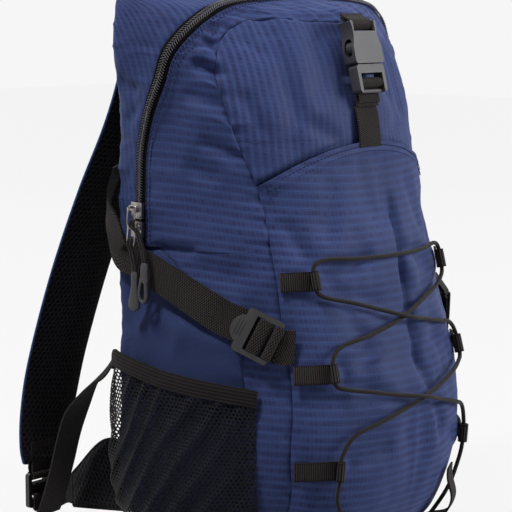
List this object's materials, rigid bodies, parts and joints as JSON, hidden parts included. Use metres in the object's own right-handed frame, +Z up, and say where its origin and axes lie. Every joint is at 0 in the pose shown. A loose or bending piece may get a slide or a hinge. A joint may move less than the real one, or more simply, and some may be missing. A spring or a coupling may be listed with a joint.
{
  "type": "daypack",
  "caption": "Small hiking daypack with an arched zip, mesh side pockets, laced front pocket, padded shoulder straps, hip belt and side-release buckles.",
  "frame": {"origin": "centre of the base the pack stands on", "axes": "+Z up towards the haul loop, -Y towards the laced front pocket, +Y towards the wearer's back"},
  "size_m": [0.3048, 0.3598, 0.4745],
  "materials": {
    "ripstop": "woven",
    "twill": "woven",
    "air_mesh": "knitted mesh",
    "mesh": "open mesh",
    "elastic": "ribbed",
    "webbing": "ribbed weave",
    "zip_tape": "woven",
    "zinc": "satin",
    "acetal": "satin",
    "pull_grip": "matt",
    "cord": "braided",
    "spring_steel": "bright"
  },
  "bodies": {
    "pack": {"base_panel": "twill", "back_panel": "air_mesh", "back_pads": "air_mesh", "rear_gusset": "ripstop", "left_side_panel": "twill", "right_side_panel": "twill", "left_side_gusset": "ripstop", "right_side_gusset": "ripstop", "front_lower_panel": "ripstop", "front_pocket": "ripstop", "zip_rear_tape": "zip_tape", "zip_lower_tapes": "zip_tape", "lower_slider": "zinc", "left_mesh_pocket": "mesh", "right_mesh_pocket": "mesh", "pocket_elastics": "elastic", "left_compression_webbing": "webbing", "right_compression_webbing": "webbing", "side_anchor_webbing": "webbing", "cord_tabs": "webbing", "shock_cord": "cord", "cord_lock_barrel": "acetal", "cord_lock_spring": "spring_steel", "gear_loop": "webbing", "haul_loop": "webbing", "left_shoulder_strap": "air_mesh", "right_shoulder_strap": "air_mesh", "left_lower_webbing": "webbing", "right_lower_webbing": "webbing", "strap_anchor_webbing": "webbing", "left_hip_wing": "air_mesh", "right_hip_wing": "air_mesh", "left_hip_webbing": "webbing", "right_hip_webbing": "webbing", "hip_buckle_socket": "acetal"},
    "flap": {"flap_panel": "ripstop", "flap_gusset": "ripstop", "zip_flap_tape": "zip_tape", "top_strap": "webbing", "top_buckle_socket": "acetal", "top_webbing_run": "webbing"},
    "top_plug": {"top_buckle_plug": "acetal", "top_buckle_prongs": "acetal", "top_buckle_webbing": "webbing"},
    "zip_slider": {"upper_slider": "zinc"},
    "zip_pull": {"upper_pull": "pull_grip"},
    "low_pull": {"lower_pull": "pull_grip"},
    "left_side_lock": {"left_compression_lock": "acetal", "left_lock_webbing": "webbing"},
    "right_side_lock": {"right_compression_lock": "acetal", "right_lock_webbing": "webbing"},
    "left_shoulder_lock": {"left_strap_lock": "acetal", "left_strap_thread": "webbing"},
    "right_shoulder_lock": {"right_strap_lock": "acetal", "right_strap_thread": "webbing"},
    "hip_plug": {"hip_buckle_plug": "acetal", "hip_buckle_prongs": "acetal", "hip_plug_webbing": "webbing"},
    "cord_button": {"cord_lock_button": "acetal"}
  },
  "joints": [
    {"name": "flap_fold", "type": "hinge", "parent": "pack", "child": "flap", "pos_m": [0, -0.084, 0.321], "axis": [1, 0, 0], "range_deg": [0, 75]},
    {"name": "top_plug_slide", "type": "slide", "parent": "flap", "child": "top_plug", "axis": [0, -0.2416, -0.9704], "range_m": [0, 0.02], "deforming": ["top_buckle_prongs"]},
    {"name": "zip_slide", "type": "slide", "parent": "pack", "child": "zip_slider", "axis": [-0.0457, -0.0762, 0.996], "range_m": [0, 0.034]},
    {"name": "zip_pull_swing", "type": "hinge", "parent": "zip_slider", "child": "zip_pull", "pos_m": [-0.13635, 0.03019, 0.26763], "axis": [0.0125, 0.997, 0.0768], "range_deg": [0, 150]},
    {"name": "low_pull_swing", "type": "hinge", "parent": "pack", "child": "low_pull", "pos_m": [-0.13577, 0.03087, 0.25363], "axis": [0.0125, 0.997, 0.0768], "range_deg": [0, 150]},
    {"name": "right_side_lock_tilt", "type": "hinge", "parent": "pack", "child": "right_side_lock", "pos_m": [0.10776, -0.07931, 0.17752], "axis": [0.368, 0.2814, -0.8862], "range_deg": [0, 35]},
    {"name": "left_side_lock_tilt", "type": "hinge", "parent": "pack", "child": "left_side_lock", "pos_m": [-0.10776, -0.07931, 0.17752], "axis": [0.368, -0.2814, 0.8862], "range_deg": [0, 35]},
    {"name": "right_shoulder_lock_tilt", "type": "hinge", "parent": "pack", "child": "right_shoulder_lock", "pos_m": [0.106, 0.16187, 0.0436], "axis": [1, 0, 0], "range_deg": [0, 35]},
    {"name": "left_shoulder_lock_tilt", "type": "hinge", "parent": "pack", "child": "left_shoulder_lock", "pos_m": [-0.106, 0.16187, 0.0436], "axis": [1, 0, 0], "range_deg": [0, 35]},
    {"name": "hip_plug_slide", "type": "slide", "parent": "pack", "child": "hip_plug", "axis": [1, 0, 0], "range_m": [0, 0.02], "deforming": ["hip_buckle_prongs", "right_hip_webbing"]},
    {"name": "cord_button_press", "type": "slide", "parent": "pack", "child": "cord_button", "axis": [0, 0.6251, -0.7806], "range_m": [0, 0.004], "stiffness_N_per_m": 900, "springref_m": -0.003, "deforming": ["cord_lock_spring"]}
  ]
}
